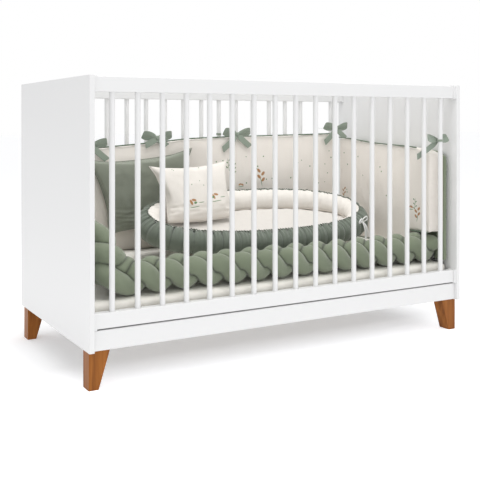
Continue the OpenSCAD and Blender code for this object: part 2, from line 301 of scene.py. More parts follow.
# painted shade: the plait and the nest's gathered cloth darken in their folds
m_plait = fold_shaded_cloth("plait_cloth", SAGE, 0.80, (0.045, 0.055, 0.035),
                       dark=0.93, sheen=0.35, rough=0.8, crease=0.5)
m_dark = cloth("dark_green_cloth", DARK, dark=0.88, sheen=0.3, rough=0.85, crease=0.6)
m_gather = fold_shaded_cloth("gathered_green_cloth", (0.145, 0.170, 0.135), 0.85, (0.025, 0.032, 0.024),
                        dark=0.86, sheen=0.3, rough=0.85, crease=0.8)
m_pillow = cloth("green_pillow_cloth", PILLOW_GREEN, dark=0.92, sheen=0.3, rough=0.85, crease=0.4)
m_ribbon = cloth("ribbon", RIBBON, dark=0.92, sheen=0.4, rough=0.55, pitch=0.0007)
m_cream = cloth("cream_cloth", CREAM, crease=0.35)
m_piping = cloth("piping", (0.12, 0.165, 0.115), dark=0.9)
m_cream_seam = cloth("cream_piping", (0.66, 0.60, 0.53), dark=0.94, sheen=0.15)
m_seam = cloth("seam_thread", (0.60, 0.54, 0.46), dark=0.9, sheen=0.1)
m_pad = cloth("nest_pad_cloth", (0.655, 0.625, 0.585), sheen=0.15, rough=0.9, crease=0.3)
m_nest_in = cloth("nest_lining", (0.76, 0.725, 0.675), sheen=0.15, rough=0.9, crease=0.5)
m_tie = cloth("white_tie", (0.86, 0.86, 0.85), dark=0.95)


def powder_black(name):
    n = Nodes(name)
    s = n.noise(n.coord, 900, 2)
    n.set(Base_Color=n.mix(s, (0.012, 0.012, 0.012, 1), (0.03, 0.03, 0.03, 1)))
    n.bsdf.inputs["Roughness"].default_value = 0.55
    n.bump(s, 0.0002, 0.5)
    return n.m


def zinc(name):
    n = Nodes(name)
    s = n.noise(n.mapped((60, 60, 1200)), 1.0, 2)
    n.set(Base_Color=n.mix(s, (0.55, 0.55, 0.56, 1), (0.72, 0.72, 0.73, 1)))
    n.bsdf.inputs["Metallic"].default_value = 1.0
    n.set(Roughness=n.math("MULTIPLY_ADD", s, 0.2, 0.25))
    n.bump(s, 0.0001, 0.3)
    return n.m


m_black = powder_black("black_powder_coat")
m_zinc = zinc("zinc_plate")

by_slot = {
    "lacquer_white": m_white, "socket_plastic": m_socket, "foot_wood": m_foot, "base_wood": m_base,
    "bracket_steel": m_black, "bolt_steel": m_zinc, "mattress_cover": m_mattress, "cream_cloth": m_cream,
    "sage_cloth": m_sage, "dark_green_cloth": m_dark, "ribbon": m_ribbon,
}
# painted shade: the base beams take the near-black wood in place of their slot's finish
painted_shade_by_node = {"base_beams": m_base_painted_shade}
for part in frame["record"]["subparts"]:
    obj = nodes[part["node"]]
    if not obj.material_slots:
        obj.data.materials.append(m_white)
    for s in obj.material_slots:
        s.material = painted_shade_by_node.get(part["node"], by_slot[part["material_slot"]])


# ---- mesh helpers
def new_object(name, me):
    o = bpy.data.objects.new(name, me)
    scene.collection.objects.link(o)
    return o


def add_mesh(name, verts, faces, mat):
    me = bpy.data.meshes.new(name)
    me.from_pydata([tuple(v) for v in verts], [], faces)
    me.update()
    o = new_object(name, me)
    shade_smooth(o)
    me.materials.append(mat)
    return o


def grid_faces(nu, nv, wrap_u=False, wrap_v=False, flip=False):
    """Quads of a grid of nu rows of nv points."""
    f = []
    for i in range(nu if wrap_u else nu - 1):
        for j in range(nv if wrap_v else nv - 1):
            a = i * nv + j
            b = ((i + 1) % nu) * nv + j
            c = ((i + 1) % nu) * nv + (j + 1) % nv
            d = i * nv + (j + 1) % nv
            f.append((a, d, c, b) if flip else (a, b, c, d))
    return f


def end_caps(n, sides):
    """The two end faces of a tube of n rings."""
    return [tuple(range(sides)), tuple(reversed(range((n - 1) * sides, n * sides)))]


def modify(o, kind, **props):
    m = o.modifiers.new(kind.lower(), kind)
    for k, v in props.items():
        setattr(m, k, v)


def bake(o):
    """Applies the object's modifiers to its mesh."""
    dg = bpy.context.evaluated_depsgraph_get()
    me = bpy.data.meshes.new_from_object(o.evaluated_get(dg))
    old = o.data
    o.modifiers.clear()
    o.data = me
    bpy.data.meshes.remove(old)


def subdivide(o, levels=1):
    modify(o, "SUBSURF", levels=levels, render_levels=levels)
    bake(o)


def set_fold_shade(o, values):
    """How deep in a fold each point lies; the cloth that reads it paints shade there."""
    near = o.data.attributes.new("crease", "FLOAT", "POINT")
    near.data.foreach_set("value", np.array(values, np.float32))


def shade_smooth(o):
    o.data.polygons.foreach_set("use_smooth", [True] * len(o.data.polygons))


def coords(o):
    a = np.empty(len(o.data.vertices) * 3)
    o.data.vertices.foreach_get("co", a)
    return a.reshape(-1, 3)


def set_coords(o, a):
    o.data.vertices.foreach_set("co", a.reshape(-1))
    o.data.update()


def normals(o):
    a = np.empty(len(o.data.vertices) * 3)
    o.data.vertices.foreach_get("normal", a)
    return a.reshape(-1, 3)


def nz(p, scale, seed=0.0):
    """Smooth noise from -1 to 1 at a point; each seed gives its own pattern."""
    return noise.noise(Vector((p[0] * scale + seed, p[1] * scale + seed * 0.7, p[2] * scale - seed)))


def limit(x):
    return min(1.0, max(0.0, x))


def tube(name, pts, r, mat, closed=False, sides=8, wobble=0.0):
    """A thin round tube along points: piping, seams."""
    pts = [Vector(p) for p in pts]
    verts, n = [], len(pts)
    up = None
    for i, p in enumerate(pts):
        a = pts[(i - 1) % n] if closed or i else pts[0]
        b = pts[(i + 1) % n] if closed or i < n - 1 else pts[-1]
        t = (b - a).normalized()
        if up is None:
            up = t.orthogonal().normalized()
        up = (up - t * up.dot(t)).normalized()
        side = t.cross(up)
        rr = r * (1 + wobble * math.sin(i * 1.7))
        for k in range(sides):
            ang = 2 * math.pi * k / sides
            verts.append(p + (up * math.cos(ang) + side * math.sin(ang)) * rr)
    faces = grid_faces(n, sides, closed, True) + ([] if closed else end_caps(n, sides))
    return add_mesh(name, verts, faces, mat)


def along(pts):
    """Distance along a path at each of its points."""
    return np.concatenate([[0], np.cumsum(np.linalg.norm(np.diff(pts, axis=0), axis=1))])


def resample(pts, step):
    pts = np.array(pts, float)
    s = along(pts)
    n = max(2, int(round(s[-1] / step)) + 1)
    t = np.linspace(0, s[-1], n)
    return np.stack([np.interp(t, s, pts[:, k]) for k in range(3)], axis=1)


def smooth_path(pts, times):
    p = pts.copy()
    for _ in range(times):
        p[1:-1] = p[1:-1] * 0.5 + (p[:-2] + p[2:]) * 0.25
    return p


def join(name, objs):
    """Joins meshes of one material into one piece."""
    verts, faces = [], []
    for o in objs:
        base = len(verts)
        verts += [tuple(v.co) for v in o.data.vertices]
        faces += [[base + v for v in p.vertices] for p in o.data.polygons]
    mat = objs[0].data.materials[0]
    for o in objs:
        bpy.data.objects.remove(o)
    return add_mesh(name, verts, faces, mat)


def prism(name, outline, axis, a, b):
    """A closed prism: outline points in the plane across the axis, drawn out from a to b."""
    n = len(outline)
    verts = []
    for t in (a, b):
        for p, q in outline:
            verts.append((t, p, q) if axis == 0 else (p, t, q))
    faces = [list(range(n)), list(range(2 * n - 1, n - 1, -1))]
    for i in range(n):
        faces.append([(i + 1) % n, i, n + i, n + (i + 1) % n])
    me = bpy.data.meshes.new(name)
    me.from_pydata(verts, [], faces)
    me.validate()
    me.update()
    return new_object(name, me)


def seam_lines(outline, axis, a, b, extra=()):
    """The prism's long edges, as pairs of points: where the cushion is sewn."""
    def at(t, pq):
        return (t, pq[0], pq[1]) if axis == 0 else (pq[0], t, pq[1])

    n = len(outline)
    lines = []
    for t in (a, b):
        lines += [(at(t, outline[i]), at(t, outline[(i + 1) % n])) for i in range(n)]
    return lines + list(extra)


def puffed(name, outline, axis, a, b, mat, voxel, pressure, cap, seed, extra=()):
    """A stuffed cushion: a prism remeshed, then blown up as cloth between its seams."""
    hold = 0.010  # how far a seam holds the cloth down
    o = prism(name, outline, axis, a, b)
    modify(o, "REMESH", mode="VOXEL", voxel_size=voxel)
    modify(o, "SMOOTH", iterations=5, factor=0.5)
    bake(o)
    o.data.materials.clear()
    o.data.materials.append(mat)
    c, nn = coords(o), normals(o)
    pin = np.zeros(len(c))
    for p, q in seam_lines(outline, axis, a, b, extra):
        p, q = np.array(p, float), np.array(q, float)
        pq = q - p
        t = np.clip(((c - p) @ pq) / max(1e-12, pq @ pq), 0, 1)
        d = np.linalg.norm(c - (p + t[:, None] * pq), axis=1)
        pin = np.maximum(pin, np.clip(1.6 - d / hold, 0, 1))
    free = 1 - pin
    for i, p in enumerate(c):
        f = free[i]
        if f > 0.02:
            w = nz(p, 7, seed) * 0.0035 + nz(p, 21, seed + 3) * 0.0016
            edge = math.exp(-((f - 0.35) / 0.35) ** 2) * nz(p, 60, seed + 7) * 0.0016
            c[i] = p + nn[i] * (w * f + edge)
    set_coords(o, c)
    g = o.vertex_groups.new(name="pin")
    for i in np.nonzero(pin > 0.02)[0]:
        g.add([int(i)], float(pin[i]), "REPLACE")
    start_cloth(o, pressure, cap, pin_group=g.name)
    shade_smooth(o)
    return o


LAST_FRAME = 20
sims = []


def start_cloth(o, pressure, cap, pin_group="", stiff=12.0, shrink=0.0, bend=0.3):
    """Makes the object a cloth under pressure; no point may move further than cap."""
    m = o.modifiers.new("cloth", "CLOTH")
    s = m.settings
    s.quality = 5
    s.mass = 0.25
    s.tension_stiffness = s.compression_stiffness = stiff
    s.shear_stiffness = stiff * 0.4
    s.bending_stiffness = bend
    s.air_damping = 1.5
    s.use_pressure = True
    s.uniform_pressure_force = pressure
    s.effector_weights.gravity = 0
    s.shrink_min = shrink
    if pin_group:
        s.vertex_group_mass = pin_group
        s.pin_stiffness = 1.0
    m.collision_settings.use_collision = False
    m.collision_settings.use_self_collision = False
    m.point_cache.frame_start = 1
    m.point_cache.frame_end = 30
    sims.append((o, cap, coords(o)))


def run_cloth():
    """Runs every cloth at once and applies the result."""
    if not sims:
        return
    for f in range(1, LAST_FRAME + 1):
        scene.frame_set(f)
    dg = bpy.context.evaluated_depsgraph_get()
    done = []
    for o, cap, rest in sims:
        e = o.evaluated_get(dg)
        a = np.empty(len(rest) * 3)
        e.data.vertices.foreach_get("co", a)
        a = a.reshape(-1, 3)
        d = a - rest
        length = np.linalg.norm(d, axis=1)
        d *= (np.minimum(length, cap) / np.maximum(length, 1e-9))[:, None]
        done.append((o, rest + d))
    for o, a in done:
        o.modifiers.clear()
        set_coords(o, a)
    scene.frame_set(1)


# ---- mattress
def make_mattress():
    o = new_object("mattress_soft", nodes["mattress"].data.copy())
    o.data.materials.clear()
    modify(o, "REMESH", mode="VOXEL", voxel_size=0.009)
    modify(o, "SMOOTH", iterations=14, factor=0.5)
    bake(o)
    o.data.materials.clear()
    o.data.materials.append(m_mattress)
    c, nn = coords(o), normals(o)
    for i, p in enumerate(c):
        side = 1 - abs(nn[i][2])
        pucker = nz((p[0] * 1.0, p[1], p[2] * 0.25), 55, 3.1) * 0.0016 * side
        wave = nz(p, 9, 1.7) * 0.0022 + nz(p, 26, 5.2) * 0.0010
        c[i] = p + nn[i] * (wave + pucker - 0.002)
    set_coords(o, c)
    shade_smooth(o)
    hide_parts("mattress")
    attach(o, BED)
    # tape along the lower edge, with rounded corners
    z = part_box("mattress")[0][2] + 0.012
    x, y, r = 0.6465, 0.2985, 0.014
    loop = []
    for cx, cy, a0 in ((x - r, y - r, 0), (-x + r, y - r, 90), (-x + r, -y + r, 180), (x - r, -y + r, 270)):
        for k in range(5):
            a = math.radians(a0 + k * 22.5)
            loop.append((cx + r * math.cos(a), cy + r * math.sin(a), z))
    loop.append(loop[0])
    path = resample(loop, 0.012)[:-1]
    t = tube("mattress_edge_tape", path, 0.0018, m_mattress, closed=True)
    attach(t, BED)


# ---- bumpers
def bumper_marks(seed, across, up, depth, n, sprigs):
    """Scattered dots, and sprigs (x, z, size, kind): 0 leafy, 1 a twig with brown leaves, 2 two brown leaves."""
    rng = np.random.default_rng(seed)
    out = []

    def mark(x, z, rx, rz, turn, color):
        out.append((x, depth, z, rx, rz, turn, color))

    for _ in range(n):
        r = rng.uniform(0.0016, 0.0030)
        mark(rng.uniform(*across), rng.uniform(*up), r, r, 0, LEAF)
    for (x, z, k, kind) in sprigs:
        if kind == 0:
            mark(x, z, 0.0009, 0.024 * k, 0.1, LEAF)
            for j in range(5):
                s = -1 if j % 2 else 1
                mark(x + s * 0.006 * k, z + (j - 2) * 0.009 * k, 0.0050 * k, 0.0022 * k, s * 0.7, LEAF)
        elif kind == 1:
            mark(x, z - 0.018 * k, 0.0012, 0.016 * k, 0.25, LEAF)
            for j in range(4):
                s = -1 if j % 2 else 1
                mark(x + s * 0.007 * k, z + (j - 1.5) * 0.009 * k, 0.0075 * k, 0.0042 * k, s * 0.8, BROWN)
        else:
            mark(x - 0.006 * k, z, 0.0075 * k, 0.0040 * k, 0.5, BROWN)
            mark(x + 0.007 * k, z - 0.001, 0.0075 * k, 0.0040 * k, -0.5, BROWN)
            mark(x, z - 0.010 * k, 0.014 * k, 0.0012, 0.05, LEAF)
    return out


def printed_cloth(name, items, color=CREAM, axis=1):
    """Cream cloth with marks printed along the axis; along x, each mark's first two numbers are y and x."""
    n = cloth_nodes(name, color, crease=0.35)
    if axis == 0:
        swap = n.new("ShaderNodeSeparateXYZ")
        n.link(n.coord, swap.inputs[0])
        back = n.new("ShaderNodeCombineXYZ")
        n.link(swap.outputs[1], back.inputs[0])
        n.link(swap.outputs[0], back.inputs[1])
        n.link(swap.outputs[2], back.inputs[2])
        n.coord = back.outputs[0]
    n.set(Base_Color=stamps(n, n.base(), items))
    return n.m


# top edges of the bumpers' CAD solids: x and z along the rear, y and z along the right
REAR_TOP = [(0.565, 0.677), (0.360, 0.673), (0.050, 0.668), (-0.100, 0.663), (-0.230, 0.651), (-0.430, 0.636),
            (-0.648, 0.628)]
RIGHT_TOP = [(0.223, 0.662), (0.140, 0.657), (0.020, 0.645), (-0.080, 0.640), (-0.170, 0.637), (-0.230, 0.633),
             (-0.272, 0.629), (-0.296, 0.612)]
IN = 0.004  # how far a cushion starts inside its CAD solid, since it swells
BUMPER_LOW = 0.2765
PANEL_FACE = 0.6545  # the right panel's inner face, less a hair


def piping(name, pts, r=0.0024, mat=None):
    p = tube(name, resample(pts, 0.009), r, mat or m_piping, wobble=0.06)
    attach(p, BED)


def rear_bumper():
    """Printed front cushion, sage backing."""
    lo = BUMPER_LOW
    top = [(max(-0.648 + IN, min(0.565 - IN, x)), z - IN) for x, z in REAR_TOP]
    outline = [(-0.648 + IN, lo), (0.565 - IN, lo)] + top
    yf, ym, yb = 0.225 + IN, 0.280, 0.300 - IN
    line = [(-0.098, yf, 0.656), (-0.092, yf, 0.56), (-0.096, yf, 0.44), (-0.094, yf, lo)]
    creases = list(zip(line[:-1], line[1:]))
    creases += [((-0.100, yf, 0.640), (-0.150, yf, 0.628)), ((-0.098, yf, 0.628), (-0.170, yf, 0.606))]
    sprigs = [(0.062, 0.562, 1.0, 0), (0.086, 0.550, 0.8, 0), (0.200, 0.520, 1.25, 1), (0.113, 0.488, 0.8, 2)]
    marks = bumper_marks(5, (-0.05, 0.54), (0.47, 0.62), 0.225, 30, sprigs)
    front = puffed("bumper_rear_soft", outline, 1, yf, ym, printed_cloth("printed_cream_rear", marks),
                   0.0072, 4.5, 0.015, 2.0, creases)
    back = puffed("bumper_rear_backing", outline, 1, ym + 0.0005, yb, m_sage,
                  0.0085, 2.0, 0.004, 5.0)
    piping("rear_piping_top", [(x, yf - 0.001, z + 0.001) for x, z in top])
    return [(front, "bumper_rear"), (back, "bumper_rear")]


def right_bumper():
    """Printed cushion with a boxed front end over the bolster, sage backing down beside the mattress."""
    lo = BUMPER_LOW
    step = 0.336  # underside of the front end
    front_y, notch_y, rear_y = -0.293, -0.185, 0.219
    top = [(min(rear_y, y), z - IN) for y, z in RIGHT_TOP]
    outline = [(front_y, step), (notch_y, step), (notch_y, lo), (rear_y, lo)] + top
    backing = [(-0.301, 0.236), (-0.246, 0.236), (-0.246, lo), (rear_y, lo)] + top[:-1] + [(-0.301, 0.606)]
    xi, xm, xo = 0.566 + IN, 0.6310, 0.6502
    crease = [((xi, -0.150, 0.64), (xi, -0.155, 0.60))]
    sprigs = [(-0.228, 0.432, 0.85, 0), (-0.206, 0.420, 0.9, 2), (-0.238, 0.402, 1.0, 1), (0.184, 0.446, 0.9, 1)]
    marks = bumper_marks(9, (-0.15, 0.19), (0.44, 0.60), 0.566, 13, sprigs)
    front = puffed("bumper_right_soft", outline, 0, xi, xm, printed_cloth("printed_cream_right", marks, axis=0),
                   0.0068, 4.5, 0.013, 8.0, crease)
    back = puffed("bumper_right_backing", backing, 0, xm + 0.0008, xo, m_sage,
                  0.0068, 2.0, 0.004, 11.0)
    x = xi - 0.001
    piping("right_piping_top", [(x, y, z + 0.001) for y, z in top[:-2]])
    piping("right_piping_low", [(x, -0.287, step), (x, notch_y, step), (x, notch_y, lo), (x, rear_y, lo)], 0.0026)
    end_y = -0.2975
    for x, r in ((0.6130, 0.0010), (0.6285, 0.0013)):
        seam = [(x, end_y, 0.606), (x, end_y - 0.0006, 0.50), (x, end_y, step)]
        piping("right_end_seam_%d" % (x * 1e4), seam, r, m_seam)
    return [(front, "bumper_right"), (back, "bumper_right")]


def finish_bumper(o, node):
    """After the cloth run: puckers along the edges and a top that falls away to the back; then the CAD part is
    hidden and the piece is attached to the bed.
    """
    subdivide(o)
    c, nn = coords(o), normals(o)
    axis, start = (1, 0.229) if node == "bumper_rear" else (0, 0.570)
    for i, p in enumerate(c):
        high = limit((p[2] - 0.55) / 0.07)
        face = abs(nn[i][axis]) ** 2
        w = nz((p[0] * 1.6, p[1] * 1.6, p[2] * 0.5), 46, 4.0) * 0.0013 * (1 - face)
        w += nz((p[0] * 0.5, p[1] * 0.5, p[2] * 2.2), 60, 9.0) * 0.0011 * (1 - face) + nz(p, 26, 2.0) * 0.0007
        p += nn[i] * w
        p[2] -= 0.11 * max(0.0, p[axis] - start) * high
        if axis == 0:
            p[0] = min(p[0], PANEL_FACE)
    set_coords(o, c)
    shade_smooth(o)
    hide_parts(node)
    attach(o, BED)


# ---- plaited bolster
BRAID_TURN = math.radians(76)  # how far the plait is turned up on its edge along the front
STRAND_R = 0.0285
FRONT_RUN, CORNER_RUN = 1.13, 0.14  # along the path: the front edge, then the corner to the left limb
PERIOD = 0.252
BRAID_PATH = [(0.629, -0.242, 0.282), (-0.545, -0.242, 0.282), (-0.580, -0.234, 0.300), (-0.595, -0.208, 0.332),
              (-0.598, -0.180, 0.3605), (-0.598, 0.150, 0.3605)]


def across(a, b):
    """The direction from a to b, and the level and upright directions across it."""
    t = Vector(b - a).normalized()
    side = t.cross(Vector((0, 0, 1))).normalized()
    return side, side.cross(t).normalized()


def strand_line(path, s, k):
    """One strand's centre line: (point, how full it is towards the ends, angle in the plait)."""
    n, out = len(path), []
    for i in range(n):
        side, up = across(path[max(0, i - 1)], path[min(n - 1, i + 1)])
        on_left = limit((s[i] - FRONT_RUN) / CORNER_RUN)
        turn = BRAID_TURN * (1 - on_left)
        th = 2 * math.pi * (s[i] / PERIOD + k / 3) + 0.6
        da = (0.0215 + 0.026 * on_left) * math.sin(th)
        db = (0.0205 - 0.0035 * on_left) * math.sin(2 * th)
        u = da * math.cos(turn) - db * math.sin(turn)
        v = da * math.sin(turn) + db * math.cos(turn)
        end = min(1.0, (s[i] + 0.001) / 0.017, (s[-1] - s[i] + 0.001) / 0.030)
        out.append((Vector(path[i]) + up * u + side * v, math.sqrt(max(0.0, 1 - (1 - end) ** 2)), th))
    return out


def make_braid():
    """Three stuffed tubes plaited round one path: front edge, corner, then standing on edge along the left end."""
    path = smooth_path(resample(BRAID_PATH, 0.006), 26)
    s = along(path)
    n, ns = len(path), 22
    objs, cores = [], []
    for k in range(3):
        centre = strand_line(path, s, k)
        verts = []
        for i, (c, shape, th) in enumerate(centre):
            side, up = across(centre[max(0, i - 1)][0], centre[min(n - 1, i + 1)][0])
            radius = (STRAND_R + 0.003 * limit((s[i] - FRONT_RUN) / CORNER_RUN)) * shape
            for j in range(ns):
                ang = 2 * math.pi * j / ns
                ca, sa = math.cos(ang), math.sin(ang)
                w = nz((i * 0.10, ca * 0.6 + k * 9, sa * 0.6), 1.0, 2.0) * 0.05
                fold = nz((i * 0.28, ca * 2.2 + k * 5, sa * 2.2), 1.0, 6.0) * 0.030
                verts.append(c + (up * ca + side * sa) * radius * (1 + w + fold * (0.4 + 0.6 * abs(math.sin(th)))))
        faces = grid_faces(n, ns, False, True) + end_caps(n, ns)
        o = add_mesh("plait_strand_%d" % (k + 1), verts, faces, m_plait)
        cores.append((np.array([c[0] for c in centre]), np.array([STRAND_R * c[1] for c in centre])))
        subdivide(o)
        shade_smooth(o)
        objs.append(o)
    for k, o in enumerate(objs):
        # painted shade: the plait's cloth is darkened in the folds, which lie where another strand's surface is
        # near
        c = coords(o)
        gap = np.full(len(c), 1.0)
        batch = 2000
        for line, radius in cores[:k] + cores[k + 1:]:
            for a in range(0, len(c), batch):
                d = np.linalg.norm(c[a:a + batch, None, :] - line[None, :, :], axis=2) - radius[None, :]
                gap[a:a + batch] = np.minimum(gap[a:a + batch], d.min(axis=1))
        set_fold_shade(o, np.exp(-(np.maximum(gap, 0) / 0.0042) ** 2))
    for o in objs:
        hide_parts("braid")
        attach(o, BED)


# ---- nest
NEST_C = Vector((0.060, -0.003, 0.3806))
TILT = math.radians(23)
NEST_M = Matrix.Translation(NEST_C) @ Matrix.Rotation(TILT, 4, "X")
NA, NB, NR = 0.408, 0.140, 0.040  # half length and half width of the roll's centre line, and its radius
SEAM = 80  # degrees up from outwards, where the outer cloth meets the lining
SQUARENESS = 2.25


def oval(t):
    c, s = math.cos(t), math.sin(t)
    e = 2 / SQUARENESS
    return Vector((NA * math.copysign(abs(c) ** e, c), NB * math.copysign(abs(s) ** e, s), 0))


def oval_points(count):
    """Points round the oval at equal spacing: (point, outward direction, distance along)."""
    m = 4000
    fine = [oval(2 * math.pi * i / m) for i in range(m + 1)]
    d = [0.0]
    for i in range(m):
        d.append(d[-1] + (fine[i + 1] - fine[i]).length)
    out, j = [], 0
    for i in range(count):
        target = d[-1] * i / count
        while d[j + 1] < target:
            j += 1
        f = (target - d[j]) / max(1e-9, d[j + 1] - d[j])
        t = (fine[(j + 1) % m] - fine[j]).normalized()
        out.append((fine[j].lerp(fine[j + 1], f), Vector((t.y, -t.x, 0)), target))
    return out


def seam_shift(out):
    """Degrees that the seam lies further over the front of the roll than over its back."""
    return 15 * out.y + 4 * min(0, out.y)


def on_roll(p, out, psi, r, push=0.0):
    """A point on the roll's section at p: psi up from outwards at radius r, pushed outwards."""
    return NEST_M @ (p + out * (math.cos(psi) * r + push) + Vector((0, 0, math.sin(psi) * r)))


def make_nest_roll():
    """The stuffed rim: gathered green cloth outside, with painted shade in its gathers' valleys, cream lining
    inside, a ruffled header along their seam.
    """
    count, gathers, knots = 1100, 62, 14
    ring = oval_points(count)
    rng = np.random.default_rng(3)
    phase = np.cumsum(rng.uniform(0.5, 1.5, count)) / count
    phase = phase / phase[-1]
    at = np.arange(0, count, knots)
    amp = 0.45 + 1.0 * np.interp(np.arange(count), at, rng.uniform(0, 1, count // knots + 1)[:len(at)])

    def shell(name, a0, a1, steps, mat, depth, inner):
        verts, creases = [], []
        for i, (p, out, s) in enumerate(ring):
            turn = math.pi * gathers * phase[i]
            c0 = math.cos(2 * turn)
            crease = 1 - 2 * abs(math.sin(turn)) ** 0.6
            g2 = math.sin(2 * turn * 2.6 + 1.0)
            for j in range(steps):
                f = j / (steps - 1)
                psi = math.radians(a0 + (a1 - a0) * f - seam_shift(out) * (1 - f if inner else f))
                to_seam = f if inner else 1 - f
                near = math.exp(-(to_seam / 0.20) ** 2)
                body = math.exp(-((to_seam - 0.4) / 0.40) ** 2)
                fold = -(0.30 * body + 0.9 * near) * crease * depth * amp[i]
                fold += 0.45 * near * g2 * depth - 0.09 * c0 * body * depth
                fold += nz((s * 9, f * 1.5, 4.0 if inner else 1.0), 1.0) * 0.0035 * body
                fold += nz((s * 60, f * 2.0, 7.0), 1.0) * 0.0012 * (near + 0.4 * body)
                r = NR + fold - (0.002 if inner else 0.003 * near)
                verts.append(on_roll(p, out, psi, r))
                # painted shade: how dark the outer cloth is painted in the valley of each gather
                creases.append(min(1.0, (0.35 * body + near) * max(0.0, crease) ** 1.3 * amp[i]))
        o = add_mesh(name, verts, grid_faces(count, steps, True, False, flip=True), mat)
        set_fold_shade(o, creases)
        return o

    outer = shell("nest_outer", -125, SEAM, 34, m_gather, 0.0042, False)
    inner = shell("nest_inner", SEAM, 235, 24, m_nest_in, 0.0013, True)
    verts, fn, ruffles, rows = [], 2000, 190, 4
    for i, (p, out, s) in enumerate(oval_points(fn)):
        w = math.sin(2 * math.pi * ruffles * i / fn + 1.6 * math.sin(i * 0.043)) * 0.0026
        w += nz((s * 130, 0, 0), 1.0, 3.0) * 0.0016
        psi = math.radians(SEAM + 3 - seam_shift(out))
        for j in range(rows):
            f = j / (rows - 1)
            h = 0.0062 * f * (1 + 0.35 * nz((s * 70, 1, 0), 1.0, 5.0))
            verts.append(on_roll(p, out, psi, NR - 0.004 + h, w * f ** 0.7))
    frill = add_mesh("nest_frill", verts, grid_faces(fn, rows, True, False), m_dark)
    modify(frill, "SOLIDIFY", thickness=0.0009, offset=0)
    bake(frill)
    shade_smooth(frill)
    line = [NEST_M @ (p - out * (NR + 0.0005) + Vector((0, 0, -0.0105))) for p, out, s in oval_points(420)]
    hem = tube("nest_inner_piping", line, 0.0016, m_cream_seam, closed=True, wobble=0.1)
    for o in (outer, inner, frill, hem):
        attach(o, BED)
    for o in (outer, inner):
        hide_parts("nest_roll")


def make_nest_pad():
    """A thin crowned pad inside the roll, with a rounded, slightly puckered edge and a flat underside."""
    verts, rows, around = [], 26, 200
    rim = oval_points(around)
    top, low, crown = -0.0085, -0.034, 0.006
    verts.append(NEST_M @ Vector((0, 0, top + crown)))
    upper = [(j / rows, top + crown * (1 - (j / rows) ** 2)) for j in range(1, rows + 1)]
    lower = [(1.004, -0.016), (1.002, -0.027), (0.985, low), (0.6, low)]
    for f, z in upper + lower:
        for i, (p, out, s) in enumerate(rim):
            q = (p - out * (NR + 0.001)) * f if f <= 1.0 else p - out * (NR + 0.001 - (f - 1) * 0.8)
            w = nz((q.x, q.y, 0), 14, 8.0) * 0.0016 + nz((q.x, q.y, 0), 34, 2.0) * 0.0010
            if f <= 1.0:
                w += 0.0012 * math.sin(i * 0.9) * max(0.0, (f - 0.8) / 0.2)
                w -= 0.008 * max(0.0, (f - 0.86) / 0.14) ** 2
            verts.append(NEST_M @ Vector((q.x, q.y, z + w)))
    n = rows + len(lower)
    faces = [(0, 1 + i, 1 + (i + 1) % around) for i in range(around)]
    for j in range(n - 1):
        for i in range(around):
            a = 1 + j * around + i
            b = 1 + j * around + (i + 1) % around
            faces.append((a, a + around, b + around, b))
    faces.append(tuple(reversed([1 + (n - 1) * around + i for i in range(around)])))
    pad = add_mesh("nest_pad_soft", verts, faces, m_pad)
    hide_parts("nest_pad")
    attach(pad, BED)


# ---- pillows
def make_pillow(name, corners, t, loc, lean, mat, pressure, seed, pinch, back=1.0, front=1.0, sag=0.0):
    """A pillow of two sewn sheets: corners are top left, top right, bottom right, bottom left in its own x and z.

    t is its thickness before the cloth run, shared out by back and front; pinch draws its sides in.
    Returns the piece and the points of its seam.
    """
    tl, tr, br, bl = [np.array(c, float) for c in corners]
    w = (np.linalg.norm(tr - tl) + np.linalg.norm(br - bl)) / 2
    h = (np.linalg.norm(tl - bl) + np.linalg.norm(tr - br)) / 2
    cell = 0.0058
    nu, nv = int(w / cell), int(h / cell)
    mid = (tl + tr + br + bl) / 4
    verts, faces, idx = [], [], {}
    for side in (-1, 1):
        for i in range(nu + 1):
            for j in range(nv + 1):
                border = i in (0, nu) or j in (0, nv)
                if border and (0, i, j) in idx:
                    idx[(side, i, j)] = idx[(0, i, j)]
                    continue
                a, c = i / nu, j / nv
                q = (bl * (1 - a) + br * a) * (1 - c) + (tl * (1 - a) + tr * a) * c
                u, v = 2 * a - 1, 2 * c - 1
                q = q + (mid - q) * pinch * 2 * ((1 - v * v) * abs(u) ** 3 + (1 - u * u) * abs(v) ** 3)
                q[1] -= sag * (1 - u * u) * (1 - c) ** 2
                prof = (max(0.0, 1 - abs(u) ** 3.2) * max(0.0, 1 - abs(v) ** 3.2)) ** 0.6
                thick = t / 2 * prof * (back if side > 0 else front)
                wr = nz((q[0], 0, q[1]), 15, seed) * 0.003 * prof
                wr += nz((q[0] * 1.3, side, q[1]), 38, seed) * 0.0018 * prof
                low = math.exp(-((v + 0.75) / 0.28) ** 2) * prof
                ripple = math.sin(q[1] * 520 + 7 * nz((q[0], 0, q[1]), 12, seed)) * 0.0016
                wr += low * (ripple + nz((q[0] * 0.6, 0, q[1] * 2), 50, seed + 2) * 0.003)
                idx[(side, i, j)] = len(verts)
                if border:
                    idx[(0, i, j)] = len(verts)
                verts.append((q[0], side * (thick + wr), q[1]))
    for side in (-1, 1):
        for i in range(nu):
            for j in range(nv):
                f = [idx[(side, i, j)], idx[(side, i + 1, j)], idx[(side, i + 1, j + 1)], idx[(side, i, j + 1)]]
                faces.append(f if side < 0 else f[::-1])
    o = add_mesh(name, verts, faces, mat)
    o.matrix_world = Matrix.Translation(loc) @ Matrix.Rotation(math.radians(lean), 4, "X")
    start_cloth(o, pressure, 0.009, stiff=9.0, shrink=-0.03, bend=0.10)
    ids = [idx[(0, i, 0)] for i in range(nu + 1)] + [idx[(0, nu, j)] for j in range(1, nv + 1)]
    ids += [idx[(0, i, nv)] for i in range(nu - 1, -1, -1)] + [idx[(0, 0, j)] for j in range(nv - 1, 0, -1)]
    return o, ids


